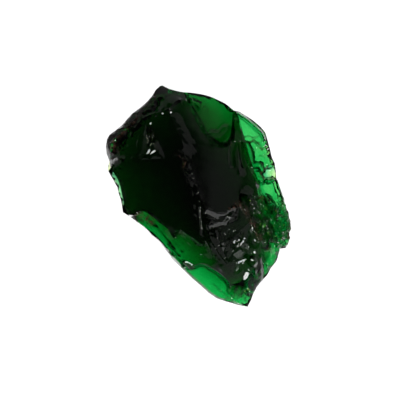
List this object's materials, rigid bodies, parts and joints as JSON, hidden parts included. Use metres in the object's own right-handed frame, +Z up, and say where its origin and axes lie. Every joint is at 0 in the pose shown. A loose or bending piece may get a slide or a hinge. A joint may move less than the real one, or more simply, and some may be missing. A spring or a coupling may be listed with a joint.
{
  "type": "chrome tourmaline crystal",
  "caption": "Rough deep green gem crystal fragment with curved fracture faces, sharp ridges and a thin bright shelf, lying on a flat natural back.",
  "frame": {"origin": "centre of the bounding box's footprint, on the surface the crystal lies on", "axes": "+Y along the crystal's length towards its blunt upper tip, +Z up out of the flat back through the broken front, +X towards the thin bright shelf"},
  "size_m": [0.009, 0.013, 0.0048],
  "materials": {
    "tourmaline": "clear deep green natural crystal, glossy curved fracture faces, rough and brown-stained patches"
  },
  "bodies": {
    "root": {"tourmaline_crystal": "tourmaline"}
  },
  "joints": []
}
